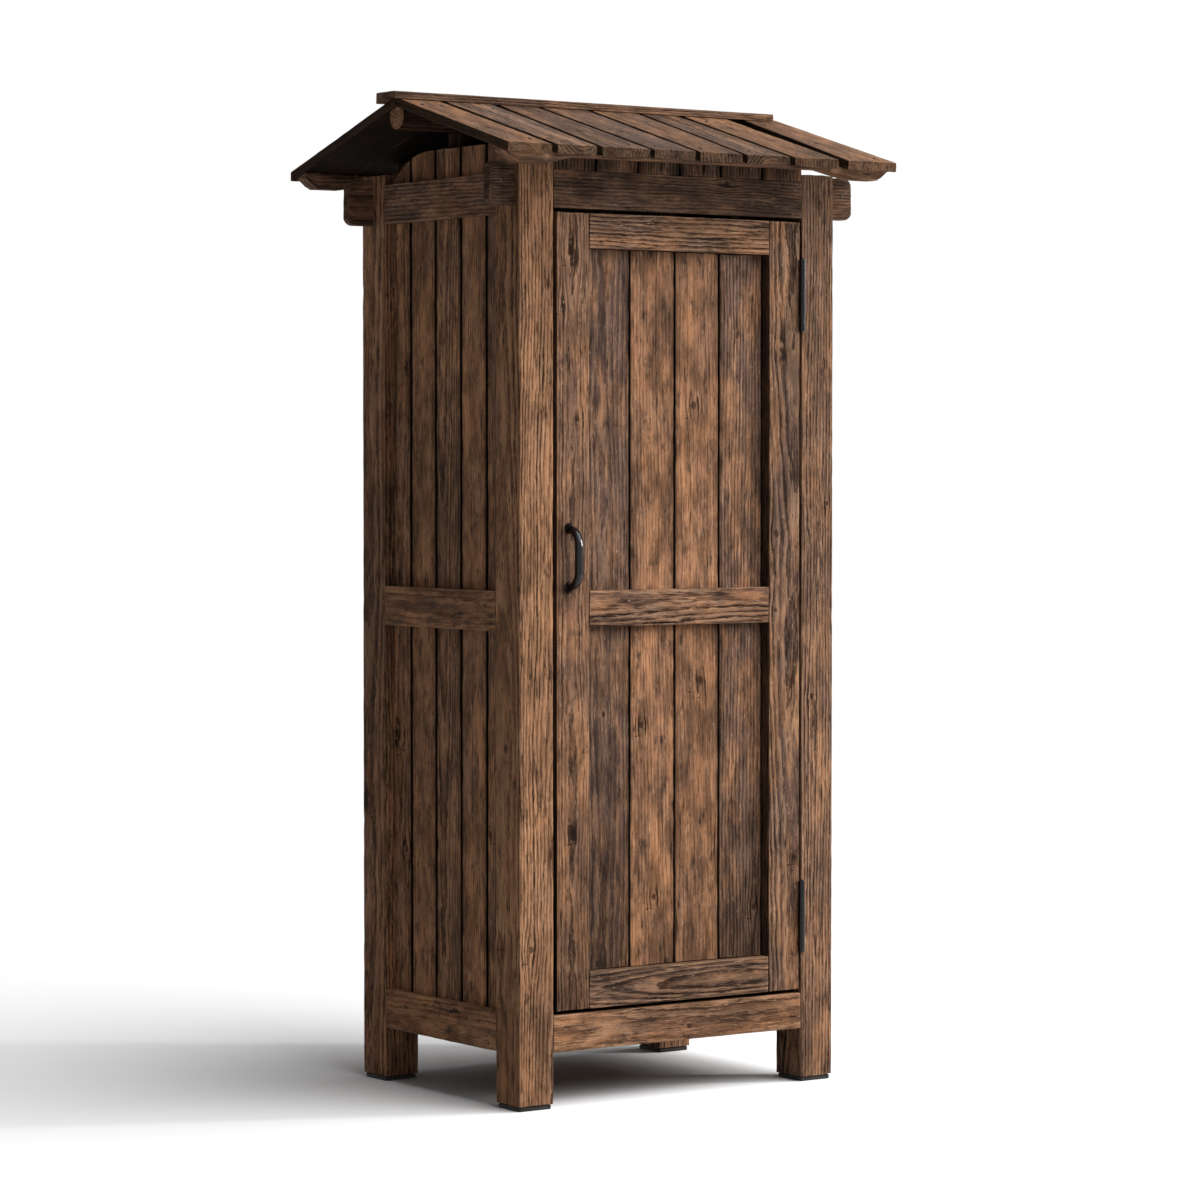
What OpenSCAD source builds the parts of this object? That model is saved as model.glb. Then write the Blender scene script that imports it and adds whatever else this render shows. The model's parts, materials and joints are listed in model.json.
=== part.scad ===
// Garden storage shed: a tall, narrow tool cabinet of framed planks on four legs,
// under a gable roof, with one plank door hung on the right.
// Millimetres, +Z up, the front looks towards -Y, the ground is Z = 0.
// The origin is on the ground, under the middle of the roof's outline.

/* [Body] */
// width over the posts
body_w = 696; // [540:2:900]
// depth over the posts
body_d = 520; // [400:2:700]
// height of the post tops above the ground
post_top_z = 1668; // [1300:2:2100]
// width of a post, seen from the front
post_w = 72; // [56:1:90]
// depth of a post, seen from the side
post_d = 76; // [60:1:92]
// thickness of the pad under each post
pad_t = 8; // [4:1:14]
// how far each pad stays inside its post
pad_inset = 3; // [1:1:8]

/* [Rails] */
// underside of the bottom rails above the ground
bottom_rail_z = 99; // [70:1:160]
// height of the front bottom rail
front_rail_h = 66; // [50:1:84]
// height of the side and rear rails
side_rail_h = 72; // [54:1:90]
// top of the middle rails above the ground
mid_rail_top_z = 914; // [800:2:1000]
// step from the post tops down to the top of the side rails
top_rail_drop = 19; // [12:1:30]
// thickness of a rail in front of its planks
rail_t = 20; // [14:1:26]
// thickness of a wall of planks
plank_t = 14; // [10:1:18]
// how far the side planks' tops come down in a curve at the rear post
gable_drop = 50; // [5:1:60]
// length of that falling curve along the shed's depth
gable_curve = 124; // [80:1:160]
// step from the post tops down to the top of the lintel
lintel_drop = 14; // [8:1:24]
// height of the lintel over the door
lintel_h = 67; // [50:1:84]
// thickness of the lintel, in front of the plate
lintel_t = 14; // [10:1:18]

/* [Plates] */
// thickness of the plates that run through the posts
plate_t = 19; // [14:1:24]
// how far the plates stick out past the posts
plate_out = 54; // [30:1:80]
// radius of the rounded plate ends
plate_round = 18; // [8:1:26]
// height of the front plate
front_plate_h = 77; // [60:1:92]
// height of the rear plate
rear_plate_h = 84; // [66:1:100]
// step from the post tops down to the top of the front plate
front_plate_drop = 3; // [2:1:8]
// step from the post tops down to the top of the rear plate
rear_plate_drop = 9; // [4:1:16]

/* [Roof] */
// height of the ridge's underside above the post tops
ridge_rise = 106; // [88:1:150]
// fall of the front slope from ridge to eaves
front_fall = 104; // [70:1:125]
// fall of the rear slope from ridge to eaves
rear_fall = 113; // [70:1:125]
// how far the eaves reach past the posts, front and rear
eaves_out = 106; // [80:1:140]
// how far the roof reaches past the left posts
verge_left = 92; // [65:1:120]
// how far the roof reaches past the right posts
verge_right = 64; // [45:1:100]
// thickness of the roof planks, measured upright
roof_t = 17.5; // [12:0.5:24]
// width of the ridge cap
cap_w = 62; // [40:1:90]
// thickness of the ridge cap over the ridge
cap_t = 8.5; // [5:0.5:14]
// how far the cap sits behind the ridge line
cap_back = 9; // [0:1:14]
// how far the cap sticks out at the left verge
cap_out = 15; // [0:1:25]
// how far the cap stops short of the right verge
cap_short = 19; // [0:1:30]
// radius of the round ridge pole
pole_r = 24; // [18:0.5:30]
// height of the pole's middle below the ridge's underside
pole_drop = 17; // [14:0.5:17.5]
// depth of an eaves batten, front to back
batten_w = 30; // [20:1:40]
// how far an eaves batten stays behind the eaves
batten_in = 20; // [8:1:30]
// how much lower the batten's ends hang than its middle
batten_step = 15; // [8:1:20]
// thickness of the frieze planks
frieze_t = 12; // [8:1:14]
// gap between the gable planks and the roof at the posts
gable_gap = 12; // [6:1:24]
// thickness of a gable king post
king_t = 24; // [16:1:30]
// width of a gable king post
king_w = 44; // [30:1:60]

/* [Door] */
// thickness of the door's frame
door_t = 36; // [30:1:44]
// gap beside the door on the handle side
gap_latch = 7; // [5:0.5:9]
// gap beside the door on the hinge side
gap_hinge = 5; // [4.5:0.5:7]
// gap over and under the door
gap_ends = 6.5; // [5:0.5:9]
// width of a door stile
stile_w = 70; // [54:1:84]
// height of the door's top rail
door_top_h = 62; // [50:1:76]
// height of the door's middle rail
door_mid_h = 65; // [50:1:80]
// height of the door's bottom rail
door_bottom_h = 66; // [50:1:80]
// depth of the door planks behind the frame's face
door_recess = 18; // [12:1:20]
// thickness of the door planks
door_plank_t = 14; // [8:1:14]
// width of the stop behind the door's closing edge
stop_w = 14; // [12:1:24]

/* [Handle] */
// length of the handle, over its feet
handle_l = 124; // [90:1:160]
// how far the handle stands off the door
handle_out = 38; // [30:1:50]
// radius of the handle's bar
handle_r = 6; // [4.5:0.5:7.5]
// distance from the door's closing edge to the handle
handle_in = 26; // [20:1:34]
// height of the handle's middle above the ground
handle_z = 972; // [950:2:1100]

/* [Hinges] */
// length of a hinge
hinge_l = 131; // [100:1:160]
// outer radius of a hinge's knuckles
knuckle_r = 5.5; // [4.5:0.1:6]
// radius of the hinge pin
pin_r = 2.5; // [2:0.1:3]
// running clearance round the hinge pin
pin_gap = 0.06; // [0.02:0.01:0.1]
// drop from the door's top to the upper hinge's middle
upper_hinge_drop = 133.5; // [90:0.5:300]
// height of the lower hinge's middle above the ground
lower_hinge_z = 307; // [260:1:500]

/* [Floor] */
// thickness of the floor
floor_t = 16; // [12:1:22]
// height of a floor joist
joist_h = 40; // [28:1:40]
// thickness of a floor joist
joist_t = 30; // [20:1:40]

/* [Hidden] */
eps = 0.01;
body_x = (verge_left + cap_out - verge_right) / 2;
xl = body_x - body_w / 2;
xr = body_x + body_w / 2;
yf = -body_d / 2;
yr = body_d / 2;
xli = xl + post_w;
xri = xr - post_w;
yfi = yf + post_d;
yri = yr - post_d;
roof_l = xl - verge_left;
roof_r = xr + verge_right;
eave_y = body_d / 2 + eaves_out;
ridge_z = post_top_z + ridge_rise;
total_z = ridge_z + roof_t + cap_t;
// underside of the roof planks at a depth y
function under(y) = ridge_z - (y < 0 ? front_fall : rear_fall) * abs(y) / eave_y;
lintel_top = post_top_z - lintel_drop;
lintel_z = lintel_top - lintel_h;
front_rail_top = bottom_rail_z + front_rail_h;
side_rail_top = bottom_rail_z + side_rail_h;
top_rail_top = post_top_z - top_rail_drop;
top_rail_z = top_rail_top - side_rail_h;
front_plate_top = post_top_z - front_plate_drop;
rear_plate_top = post_top_z - rear_plate_drop;
rear_plate_z = rear_plate_top - rear_plate_h;
front_plate_y = yf + lintel_t;
rear_plate_y = yr - rail_t - plate_t;
gable_top = min(under(yfi), under(yri)) - gable_gap;
gable_r = (gable_curve * gable_curve + gable_drop * gable_drop) / (2 * gable_drop);
wall_in = rail_t + plank_t;
panel_foot = bottom_rail_z + 5;
door_l = xli + gap_latch;
door_r = xri - gap_hinge;
door_z = front_rail_top + gap_ends;
door_top = lintel_z - gap_ends;
upper_hinge_z = door_top - upper_hinge_drop;
pin_x = xri - gap_hinge / 2;
pin_y = yf - knuckle_r + 0.4;
leaf_t = (gap_hinge - 0.8) / 2;
leaf_end = yf + door_t - 6;
knuckles = 5;
seam = 0.5;
floor_top = front_rail_top - 2;
pole_z = ridge_z - pole_drop;
stop_gap = 1;

// a block between two corners
module box(a, b) { translate(a) cube(b - a); }

// an outline in Y and Z, run along X from x0 to x1
module along_x(x0, x1) {
    translate([x0, 0, 0]) rotate([90, 0, 90]) linear_extrude(height = x1 - x0) children();
}

// an outline in X and Z, run along Y from y0 to y1
module along_y(y0, y1) {
    translate([0, y1, 0]) rotate([90, 0, 0]) linear_extrude(height = y1 - y0) children();
}

// one post, with the slot that its plate passes through
module post(x0, y0, slot_y, slot_z) {
    difference() {
        box([x0, y0, pad_t], [x0 + post_w, y0 + post_d, post_top_z]);
        box([x0 - 1, slot_y, slot_z], [x0 + post_w + 1, slot_y + plate_t, post_top_z + 1]);
    }
}

// a plate with four rounded end corners, its top at z1
module plate(y0, z1, h) {
    x0 = xl - plate_out;
    x1 = xr + plate_out;
    r = plate_round;
    along_y(y0, y0 + plate_t) union() {
        translate([x0, z1 - h + r]) square([x1 - x0, h - 2 * r]);
        translate([x0 + r, z1 - h]) square([x1 - x0 - 2 * r, h]);
        for (x = [x0 + r, x1 - r], z = [z1 - h + r, z1 - r]) translate([x, z]) circle(r = r, $fn = 64);
    }
}

// the space under the roof planks, for cutting things to the slope
module under_roof() {
    along_x(roof_l - 1, roof_r + 1)
        polygon([[-eave_y, under(-eave_y)], [0, ridge_z], [eave_y, under(eave_y)],
                 [eave_y, 0], [-eave_y, 0]]);
}

// an eaves batten with chamfered ends that hang lower than its middle
module batten(y0, side) {
    mid = under(side * eave_y);
    low = mid - batten_step;
    x0 = roof_l + 3;
    x1 = roof_r - 3;
    intersection() {
        along_y(y0, y0 + batten_w)
            polygon([[x0, ridge_z], [x0, low + 20], [x0 + 24, low], [x0 + 84, low], [x0 + 154, mid],
                [x1 - 154, mid], [x1 - 84, low], [x1 - 24, low], [x1, low + 20], [x1, ridge_z]]);
        under_roof();
    }
}

module rail(x0, x1, y0, y1, top, h) { box([x0, y0, top - h], [x1, y1, top]); }

module post_front_left() {
    color([0.33, 0.25, 0.19]) post(xl, yf, front_plate_y, front_plate_top - front_plate_h);
}
module post_front_right() {
    color([0.33, 0.25, 0.19]) post(xri, yf, front_plate_y, front_plate_top - front_plate_h);
}
module post_rear_left() { color([0.33, 0.25, 0.19]) post(xl, yri, rear_plate_y, rear_plate_z); }
module post_rear_right() { color([0.33, 0.25, 0.19]) post(xri, yri, rear_plate_y, rear_plate_z); }

module foot_pads() {
    color([0.05, 0.05, 0.05]) for (x = [xl, xri], y = [yf, yri])
        box([x + pad_inset, y + pad_inset, 0], [x + post_w - pad_inset, y + post_d - pad_inset, pad_t]);
}

module front_plate() { color([0.33, 0.25, 0.19]) plate(front_plate_y, front_plate_top, front_plate_h); }
module rear_plate() { color([0.33, 0.25, 0.19]) plate(rear_plate_y, rear_plate_top, rear_plate_h); }

module front_lintel() { color([0.33, 0.25, 0.19]) rail(xli, xri, yf, yf + lintel_t, lintel_top, lintel_h); }
module front_bottom_rail() {
    color([0.33, 0.25, 0.19]) rail(xli, xri, yf, yf + rail_t, front_rail_top, front_rail_h);
}
module front_frieze() {
    color([0.25, 0.19, 0.15]) intersection() {
        box([xli, yf + 1, lintel_top], [xri, yf + 1 + frieze_t, ridge_z]);
        under_roof();
    }
}

// a rail of one side, between its posts, with its top at z1
module side_rail(x0, z1) { color([0.33, 0.25, 0.19]) rail(x0, x0 + rail_t, yfi, yri, z1, side_rail_h); }
// a rail of the back, between its posts, with its top at z1
module back_rail(z1) { color([0.33, 0.25, 0.19]) rail(xli, xri, yr - rail_t, yr, z1, side_rail_h); }

module left_top_rail() { side_rail(xl, top_rail_top); }
module left_mid_rail() { side_rail(xl, mid_rail_top_z); }
module left_bottom_rail() { side_rail(xl, side_rail_top); }
// a side's planks, from x0 inwards, their tops cut in a curve that falls towards the rear post
module side_planks(x0) {
    color([0.3, 0.22, 0.17]) difference() {
        box([x0, yfi, panel_foot], [x0 + plank_t, yri, gable_top]);
        difference() {
            box([x0 - 1, yri - gable_curve, gable_top - gable_drop],
                [x0 + plank_t + 1, yri + 1, gable_top + 1]);
            translate([x0 - 2, yri - gable_curve, gable_top - gable_r]) rotate([0, 90, 0])
                cylinder(r = gable_r, h = plank_t + 4, $fn = 240);
        }
    }
}
module left_wall() { side_planks(xl + rail_t); }

module right_top_rail() { side_rail(xr - rail_t, top_rail_top); }
module right_mid_rail() { side_rail(xr - rail_t, mid_rail_top_z); }
module right_bottom_rail() { side_rail(xr - rail_t, side_rail_top); }
module right_wall() { side_planks(xr - wall_in); }

module rear_top_rail() { back_rail(top_rail_top); }
module rear_mid_rail() { back_rail(mid_rail_top_z); }
module rear_bottom_rail() { back_rail(side_rail_top); }
module rear_wall() {
    color([0.3, 0.22, 0.17]) box([xli, yr - wall_in, panel_foot], [xri, yr - rail_t, rear_plate_z]);
}
module rear_frieze() {
    color([0.25, 0.19, 0.15]) intersection() {
        box([xli, yr - 1 - frieze_t, top_rail_top], [xri, yr - 1, ridge_z]);
        under_roof();
    }
}

module floor() {
    color([0.3, 0.23, 0.18]) union() {
        box([xli, yf + rail_t, floor_top - floor_t], [xri, yr - wall_in, floor_top]);
        box([xl + wall_in, yfi, floor_top - floor_t], [xr - wall_in, yri, floor_top]);
    }
}
module floor_joists() {
    y = yri - joist_t - 24;
    color([0.3, 0.23, 0.18]) for (y0 = [-y - joist_t, y])
        box([xl + wall_in, y0, floor_top - floor_t - joist_h],
            [xr - wall_in, y0 + joist_t, floor_top - floor_t]);
}

module king_post(x0) {
    box([x0, -king_w / 2, top_rail_z], [x0 + king_t, king_w / 2, pole_z - pole_r]);
}
module left_king_post() { color([0.25, 0.19, 0.15]) king_post(xl + wall_in); }
module right_king_post() { color([0.25, 0.19, 0.15]) king_post(xr - wall_in - king_t); }

module ridge_pole() {
    color([0.4, 0.32, 0.25]) intersection() {
        translate([roof_l + 3, 0, pole_z]) rotate([0, 90, 0])
            cylinder(r = pole_r, h = roof_r - roof_l - 6, $fn = 64);
        under_roof();
    }
}
module front_eaves_batten() { color([0.25, 0.19, 0.15]) batten(-eave_y + batten_in, -1); }
module rear_eaves_batten() { color([0.25, 0.19, 0.15]) batten(eave_y - batten_in - batten_w, 1); }

// one slope of roof planks, on the side given by s
module slope(s) {
    e = s * eave_y;
    along_x(roof_l, roof_r)
        polygon([[0, ridge_z], [e, under(e)], [e, under(e) + roof_t], [0, ridge_z + roof_t]]);
}
module front_roof_slope() { color([0.45, 0.33, 0.24]) slope(-1); }
module rear_roof_slope() { color([0.45, 0.33, 0.24]) slope(1); }

module ridge_cap() {
    a = -cap_w / 2 + cap_back;
    b = cap_w / 2 + cap_back;
    color([0.45, 0.33, 0.24]) along_x(roof_l - cap_out, roof_r - cap_short)
        polygon([[0, ridge_z + roof_t], [a, under(a) + roof_t], [a, total_z - 4], [a + 4, total_z],
            [b - 4, total_z], [b, total_z - 4], [b, under(b) + roof_t]]);
}

module door_stop() {
    color([0.3, 0.22, 0.17]) box([xli, yf + door_t + stop_gap, floor_top],
        [xli + stop_w, yf + door_t + stop_gap + 14, lintel_z - 2]);
}

module door_latch_stile() {
    color([0.42, 0.31, 0.22]) box([door_l, yf, door_z], [door_l + stile_w, yf + door_t, door_top]);
}
module door_hinge_stile() {
    color([0.42, 0.31, 0.22]) box([door_r - stile_w, yf, door_z], [door_r, yf + door_t, door_top]);
}
module door_cross(z1, h, t) {
    color([0.42, 0.31, 0.22]) box([door_l + stile_w, yf, z1 - h], [door_r - stile_w, yf + t, z1]);
}
module door_top_rail() { door_cross(door_top, door_top_h, door_t); }
module door_mid_rail() { door_cross(mid_rail_top_z, door_mid_h, door_recess); }
module door_bottom_rail() { door_cross(door_z + door_bottom_h, door_bottom_h, door_t); }
module door_panel() {
    color([0.42, 0.3, 0.22]) box([door_l + stile_w, yf + door_recess, door_z + door_bottom_h],
        [door_r - stile_w, yf + door_recess + door_plank_t, door_top - door_top_h]);
}

module door_handle() {
    x = door_l + handle_in;
    half = handle_l / 2 - handle_r - 4;
    bend = 12;
    color([0.04, 0.04, 0.045]) translate([x, yf, handle_z]) union() {
        for (s = [-1, 1]) {
            translate([0, 0, s * half]) rotate([90, 0, 0]) cylinder(r = handle_r + 4, h = 3.5, $fn = 48);
            translate([0, 0, s * half]) rotate([90, 0, 0])
                cylinder(r = handle_r, h = handle_out - handle_r - bend, $fn = 48);
            translate([0, bend + handle_r - handle_out, s * (half - bend)]) rotate([s * 90, 0, -90])
                rotate_extrude(angle = 90, $fn = 64) translate([bend, 0]) circle(r = handle_r, $fn = 48);
        }
        translate([0, handle_r - handle_out, bend - half])
            cylinder(r = handle_r, h = 2 * (half - bend), $fn = 48);
    }
}

// height of knuckle i's foot within a hinge
function knuckle_z(i) = i * hinge_l / knuckles;
module knuckle(z, i) {
    translate([pin_x, pin_y, z - hinge_l / 2 + knuckle_z(i) + seam / 2])
        cylinder(r = knuckle_r, h = hinge_l / knuckles - seam, $fn = 48);
}
// the strip of leaf that joins knuckle i
module tab(z, i, x0, x1) {
    box([x0, pin_y + pin_r + 0.7, z - hinge_l / 2 + knuckle_z(i) + seam / 2],
        [x1, pin_y + knuckle_r + 1.2, z - hinge_l / 2 + knuckle_z(i + 1) - seam / 2]);
}
module leaf(z, x0, x1) {
    box([x0, pin_y + knuckle_r + 0.8, z - hinge_l / 2], [x1, leaf_end, z + hinge_l / 2]);
}

module hinge_frame_leaves() {
    color([0.04, 0.04, 0.045]) for (z = [upper_hinge_z, lower_hinge_z]) union() {
        leaf(z, xri - leaf_t, xri);
        for (i = [0, 2, 4]) {
            knuckle(z, i);
            tab(z, i, xri - leaf_t, xri);
        }
        translate([pin_x, pin_y, z - hinge_l / 2 - 2]) cylinder(r = pin_r, h = hinge_l + 4, $fn = 48);
    }
}
module hinge_door_leaves() {
    color([0.04, 0.04, 0.045]) for (z = [upper_hinge_z, lower_hinge_z]) difference() {
        union() {
            leaf(z, door_r, door_r + leaf_t);
            for (i = [1, 3]) {
                knuckle(z, i);
                tab(z, i, door_r, door_r + leaf_t);
            }
        }
        translate([pin_x, pin_y, z - hinge_l / 2 - 1])
            cylinder(r = pin_r + pin_gap, h = hinge_l + 2, $fn = 48);
    }
}

post_front_left();
post_front_right();
post_rear_left();
post_rear_right();
foot_pads();
front_plate();
rear_plate();
front_lintel();
front_bottom_rail();
front_frieze();
left_top_rail();
left_mid_rail();
left_bottom_rail();
left_wall();
right_top_rail();
right_mid_rail();
right_bottom_rail();
right_wall();
rear_top_rail();
rear_mid_rail();
rear_bottom_rail();
rear_wall();
rear_frieze();
floor();
floor_joists();
left_king_post();
right_king_post();
ridge_pole();
front_eaves_batten();
rear_eaves_batten();
front_roof_slope();
rear_roof_slope();
ridge_cap();
door_stop();
door_latch_stile();
door_hinge_stile();
door_top_rail();
door_mid_rail();
door_bottom_rail();
door_panel();
door_handle();
hinge_frame_leaves();
hinge_door_leaves();
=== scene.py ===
import json
import math

import bmesh
import bpy
import numpy as np
from mathutils import Matrix, Vector

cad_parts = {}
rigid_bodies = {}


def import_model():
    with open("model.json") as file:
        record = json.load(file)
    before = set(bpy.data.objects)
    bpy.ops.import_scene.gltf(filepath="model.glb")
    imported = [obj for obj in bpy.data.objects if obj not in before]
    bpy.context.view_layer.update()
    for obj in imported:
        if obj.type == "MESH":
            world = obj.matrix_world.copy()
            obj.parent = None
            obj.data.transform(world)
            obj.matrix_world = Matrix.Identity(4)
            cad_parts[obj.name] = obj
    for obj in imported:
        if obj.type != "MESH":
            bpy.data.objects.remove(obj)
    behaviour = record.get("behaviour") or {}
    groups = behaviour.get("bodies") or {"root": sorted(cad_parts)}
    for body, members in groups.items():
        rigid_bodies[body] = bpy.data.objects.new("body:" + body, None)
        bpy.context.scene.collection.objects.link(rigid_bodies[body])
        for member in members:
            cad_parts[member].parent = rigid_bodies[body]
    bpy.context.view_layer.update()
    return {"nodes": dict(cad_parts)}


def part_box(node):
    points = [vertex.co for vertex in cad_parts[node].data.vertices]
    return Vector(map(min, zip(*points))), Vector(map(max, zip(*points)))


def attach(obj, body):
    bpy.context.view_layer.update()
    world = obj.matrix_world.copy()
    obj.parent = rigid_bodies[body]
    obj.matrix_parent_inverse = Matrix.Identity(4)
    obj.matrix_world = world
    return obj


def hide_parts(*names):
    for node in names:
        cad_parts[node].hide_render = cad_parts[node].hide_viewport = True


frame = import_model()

bl_info = {
    "name": "Garden tool shed",
    "version": (1, 0, 0),
    "blender": (4, 5, 0),
    "location": "3D View > Sidebar > Tool Shed",
    "description": "Weathered pine boards, forged ironwork and a plain stage for a tall tool shed",
    "category": "Object",
}

MM = 0.001
X, Y, Z = 0, 1, 2

# how far from a board's edges and sawn ends its mesh is cut more closely
ARRIS_STEPS = (0.9 * MM, 2.6 * MM)
END_STEPS = (0.9 * MM, 2.6 * MM, 5.2 * MM, 8.6 * MM, 12.6 * MM, 17.2 * MM)
FAR_FROM_KNOT = 9.0

# how boards are sawn and grow: the share with upright rings, knot radii, how deep a knot's hollow is,
# and how far the growth lines wander slowly and quickly
QUARTER_SAWN = 0.55
KNOT_RADII = (4.5, 10)
KNOT_HOLLOW = 0.9 * MM
SLOW_WANDER, QUICK_WANDER = 3.2 * MM, 0.55 * MM

# how they wear: growth lines to a furrow, the deepest chip, and the rubbed strips by edges and ends
FURROW_LINES = 2.6
CHIP_DEPTH = 2.6 * MM
RUBBED_SIDE, RUBBED_END = 9 * MM, 12 * MM

# painted shade: how far it spreads from a joint; and the top and depth of splashed mud in metres
JOINT_SHADE = 11 * MM
SPLASH_TOP, SPLASH_FADE = 0.86, 0.55

# room between a board and the roof planks that it meets
ROOF_CLEARANCE = 0.3 * MM

# the nodes used most: some are a kind with its settings
MATH, NOISE, RANGE = "ShaderNodeMath", "ShaderNodeTexNoise", "ShaderNodeMapRange"
PLUS, MINUS, TIMES, SCALE, MOST = ((MATH, {"operation": kind}) for kind in (
    "ADD", "SUBTRACT", "MULTIPLY", "MULTIPLY_ADD", "MAXIMUM"))
SMOOTH = (RANGE, {"interpolation_type": "SMOOTHSTEP"})
BLEND, SHADE = (("ShaderNodeMix", {"data_type": "RGBA", "blend_type": kind}) for kind in ("MIX", "MULTIPLY"))


def linear(code):
    """An sRGB hex colour as linear red, green and blue."""
    parts = [int(code[i:i + 2], 16) / 255 for i in (1, 3, 5)]
    return tuple(c / 12.92 if c <= 0.04045 else ((c + 0.055) / 1.055) ** 2.4 for c in parts)


def rgba(colour):
    """A colour with full cover, from its hex code or its linear parts."""
    return (*(linear(colour) if isinstance(colour, str) else tuple(colour)), 1.0)


# ---------------------------------------------------------------- settings

def number(name, description, size, low, high, **more):
    """A number property."""
    return bpy.props.FloatProperty(name=name, description=description, default=size, min=low, max=high, **more)


def length(name, description, size, low, high):
    """A length property, from millimetres."""
    return number(name, description, size * MM, low * MM, high * MM, unit="LENGTH", subtype="DISTANCE")


def colour(name, description, code):
    """A colour property, from an sRGB hex colour."""
    return bpy.props.FloatVectorProperty(name=name, description=description, default=linear(code), size=3,
                                         min=0, max=1, subtype="COLOR")


class ShedTimber(bpy.types.PropertyGroup):
    """How the boards are sawn and how far the weather has worn them."""
    arris: length("Arris rounding", "How far a board's long edges are worn round", 2.4, 0.5, 5)
    relief: length("Grain relief", "Depth from the hard grain to the worn soft grain", 0.7, 0, 2)
    ring: length("Growth ring", "Mean distance from one dark growth line to the next", 6.4, 1, 20)
    gap: length("Board gap", "Open joint between two wall boards", 3.4, 0.5, 10)
    cell_across: length("Cell across", "Mesh step across the grain", 3.2, 1, 20)
    cell_along: length("Cell along", "Mesh step along the grain", 11, 2, 100)


class ShedColours(bpy.types.PropertyGroup):
    """The colours that the weather has left."""
    warm: colour("Warm wood", "Brushed brown wood where the stain has worn thin", "#ac7a57")
    mid: colour("Stained wood", "The brown stain over most of each board", "#7c5b47")
    grey: colour("Greyed wood", "Purplish grey brown where rain has bleached the stain", "#604a41")
    dark: colour("Dark grain", "Growth lines, knots and checks", "#22150e")
    iron: colour("Black iron", "Glossy black paint on the ironwork", "#0b0b0d")
    nail: colour("Nail heads", "Dull weathered steel nail heads", "#4a403a")
    rubber: colour("Foot pads", "Matt black rubber under the posts", "#191817")


class ShedIron(bpy.types.PropertyGroup):
    """Sizes of the nails, screws and pull."""
    nail_head: length("Nail head", "Diameter of a roof nail's head", 6.5, 2, 15)
    screw_head: length("Screw head", "Diameter of a hinge screw's head", 6.0, 2, 12)
    grip_width: length("Grip width", "Width of the pull's flattened grip", 14, 8, 20)


class ShedStage(bpy.types.PropertyGroup):
    """Floor, lamps and camera."""
    key: number("Key lamp", "Strength of the broad soft lamp in front and to the right", 3.78, 0, 20)
    softness: number("Key softness", "How wide the key lamp looks from the shed, in degrees", 68.0, 1, 90)
    edge: number("Edge lamp", "Power of the narrow lamp at the right that rakes over the grain", 60.0, 0, 2000,
                 unit="POWER")
    sky: number("Sky", "Strength of the even light from all round", 0.12, 0, 2)
    lens: number("Lens", "Focal length in millimetres on a 36 mm wide sensor", 120.84, 20, 300, subtype="FACTOR")


# ---------------------------------------------------------------- helpers

def add(tree, kind, *values, **more):
    """Adds one node and gives its first live output. Values fill its live inputs in order. A keyword
    with a capital is an input's name, and any other is a setting. A value may be a socket to link."""
    kind, settings = kind if isinstance(kind, tuple) else (kind, {})
    node = tree.nodes.new(kind)
    for key, value in {**settings, **more}.items():
        if key[0].islower():
            setattr(node, key, value)
    named = [(node.inputs[key.replace("_", " ")], value) for key, value in more.items() if key[0].isupper()]
    for socket, value in (*zip([s for s in node.inputs if s.enabled], values), *named):
        if isinstance(value, bpy.types.NodeSocket):
            tree.links.new(value, socket)
        else:
            socket.default_value = value
    return next((s for s in node.outputs if s.enabled), None)


def new_material(name):
    """An empty material and its node tree."""
    mat = bpy.data.materials.new(name)
    mat.use_nodes = True
    mat.node_tree.nodes.clear()
    return mat, mat.node_tree


def new_tree(name, **sockets):
    """A geometry tree with named inputs and one geometry output, and the sockets of its input node."""
    tree = bpy.data.node_groups.new(name, "GeometryNodeTree")
    for key, (kind, default) in sockets.items():
        item = tree.interface.new_socket(key.replace("_", " "), in_out="INPUT", socket_type="NodeSocket" + kind)
        if default is not None:
            item.default_value = default
    tree.interface.new_socket("Geometry", in_out="OUTPUT", socket_type="NodeSocketGeometry")
    return tree, add(tree, "NodeGroupInput").node.outputs


def finish_tree(tree, geometry, material):
    """Ends a geometry tree in plain mesh with its material."""
    real = add(tree, "GeometryNodeRealizeInstances", geometry)
    done = add(tree, "GeometryNodeSetMaterial", Geometry=real, Material=material)
    add(tree, "NodeGroupOutput", done)
    return tree


def link(name, data):
    """A new object in the scene."""
    made = bpy.data.objects.new(name, data)
    bpy.context.scene.collection.objects.link(made)
    return made


def piece(name, mesh, body, slot, *nodes):
    """A finished piece on its body, in place of its CAD nodes."""
    made = link(name, mesh)
    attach(made, body)
    if nodes:
        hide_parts(*nodes)
    return made


def points_of(mesh):
    """A mesh's vertices, one row each."""
    co = np.empty(len(mesh.vertices) * 3, np.float32)
    mesh.vertices.foreach_get("co", co)
    return co.reshape(-1, 3)


def grown(tree, name, values):
    """Runs a geometry tree with the given inputs and returns its result as one plain mesh."""
    holder = link(name + "_holder", bpy.data.meshes.new(name + "_holder"))
    mod = holder.modifiers.new("build", "NODES")
    mod.node_group = tree
    for item in tree.interface.items_tree:
        if item.item_type == "SOCKET" and item.in_out == "INPUT" and item.name in values:
            mod[item.identifier] = values[item.name]
    holder.update_tag()
    graph = bpy.context.evaluated_depsgraph_get()
    mesh = bpy.data.meshes.new_from_object(holder.evaluated_get(graph))
    mesh.name = name
    bpy.data.objects.remove(holder)
    return mesh


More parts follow.
